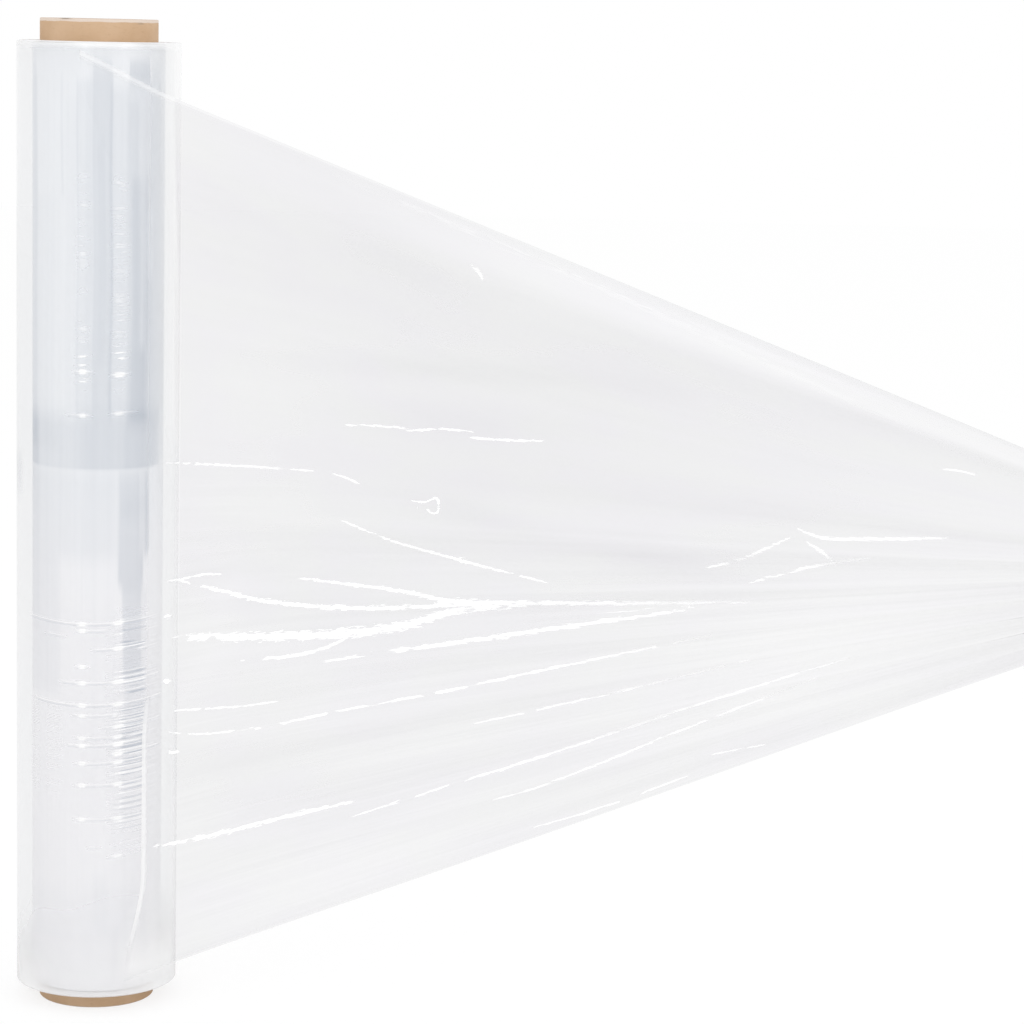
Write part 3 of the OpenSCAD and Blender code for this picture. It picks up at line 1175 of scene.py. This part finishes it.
# %% [markdown]
# ## Floor, light and background
#
# The photograph has a white ground with no shadow to speak of. The floor is white and keeps a
# soft shadow, and to the camera it glows a little, so that it meets the white background without
# a line. Large lamps light the roll evenly. Two narrow upright ones make glints on the ripples,
# and the finish of the outer turns paints the same glints as well.

# %% Floor
FLOOR_SIZE = 14
FLOOR_PLAIN, FLOOR_SEEN, FLOOR_GLOW = 0.86, 0.25, 0.765
start_piece()
bpy.ops.mesh.primitive_plane_add(size=FLOOR_SIZE)
floor = bpy.context.object
floor.name = "studio_floor"


def neutral(level):
    """A neutral colour, as an amount of light from 0 to 1."""
    return (level, level, level, 1)


def studio_white():
    f = Finish("studio_white")
    camera_ray = f.node("ShaderNodeLightPath", out="Is Camera Ray")
    plain = f.node("ShaderNodeBsdfDiffuse", {}, {"Color": neutral(FLOOR_PLAIN)})
    faint = f.node("ShaderNodeBsdfDiffuse", {}, {"Color": neutral(FLOOR_SEEN)})
    glow = f.node("ShaderNodeEmission", {}, {"Color": (1, 1, 1, 1), "Strength": FLOOR_GLOW})
    seen = f.node("ShaderNodeAddShader", {}, {0: faint, 1: glow})
    floor_look = f.node("ShaderNodeMixShader", {}, {0: camera_ray, 1: plain, 2: seen})
    f.node("ShaderNodeOutputMaterial", {}, {"Surface": floor_look})
    return f.material


floor.data.materials.append(studio_white())

# %% World
WORLD_LIGHT = 0.92
world = bpy.data.worlds.new("studio")
bpy.context.scene.world = world
world.use_nodes = True
world.node_tree.nodes.clear()
tree = world.node_tree
rays = tree.nodes.new("ShaderNodeLightPath")
seen = tree.nodes.new("ShaderNodeMath")
seen.operation = "MAXIMUM"
tree.links.new(rays.outputs["Is Camera Ray"], seen.inputs[0])
tree.links.new(rays.outputs["Is Glossy Ray"], seen.inputs[1])
through = tree.nodes.new("ShaderNodeMath")
through.operation = "MAXIMUM"
tree.links.new(seen.outputs[0], through.inputs[0])
tree.links.new(rays.outputs["Is Transmission Ray"], through.inputs[1])
strength = tree.nodes.new("ShaderNodeMapRange")
strength.inputs["To Min"].default_value = WORLD_LIGHT
strength.inputs["To Max"].default_value = 1.0
tree.links.new(through.outputs[0], strength.inputs["Value"])
background = tree.nodes.new("ShaderNodeBackground")
background.inputs["Color"].default_value = (1, 1, 1, 1)
tree.links.new(strength.outputs["Result"], background.inputs["Strength"])
ending = tree.nodes.new("ShaderNodeOutputWorld")
tree.links.new(background.outputs[0], ending.inputs[0])


# %% Lamps
def lamp(name, place, target, size, power):
    """A rectangular lamp that faces a place."""
    data = bpy.data.lights.new(name, "AREA")
    data.shape = "RECTANGLE"
    data.size, data.size_y = size
    data.energy = power
    made = bpy.data.objects.new(name, data)
    bpy.context.scene.collection.objects.link(made)
    made.location = place
    facing = Vector(target) - Vector(place)
    made.rotation_euler = facing.to_track_quat("-Z", "Y").to_euler()
    return made


def stand(azimuth, distance, height):
    """A place at an angle from the front, towards the drawn-off side."""
    a = math.radians(azimuth)
    return (distance * math.sin(a), -distance * math.cos(a), height)


OBJECT_MIDDLE = (0.1, 0, 0.26)
ROLL_MIDDLE = (0, 0, 0.26)
SOFT, SOFT_POWER = (2.2, 1.6), 6
STRIP, STRIP_POWER = (0.16, 1.0), 2
lamp("key", stand(-40, 2.6, 1.9), OBJECT_MIDDLE, SOFT, SOFT_POWER)
lamp("fill", stand(60, 2.8, 1.2), OBJECT_MIDDLE, SOFT, SOFT_POWER)
lamp("left_strip", stand(-12.3, 2.2, 0.9), ROLL_MIDDLE, STRIP, STRIP_POWER)
lamp("right_strip", stand(42.3, 2.2, 0.9), ROLL_MIDDLE, STRIP, STRIP_POWER)
bpy.context.scene.view_settings.view_transform = "Standard"
print("studio ready")
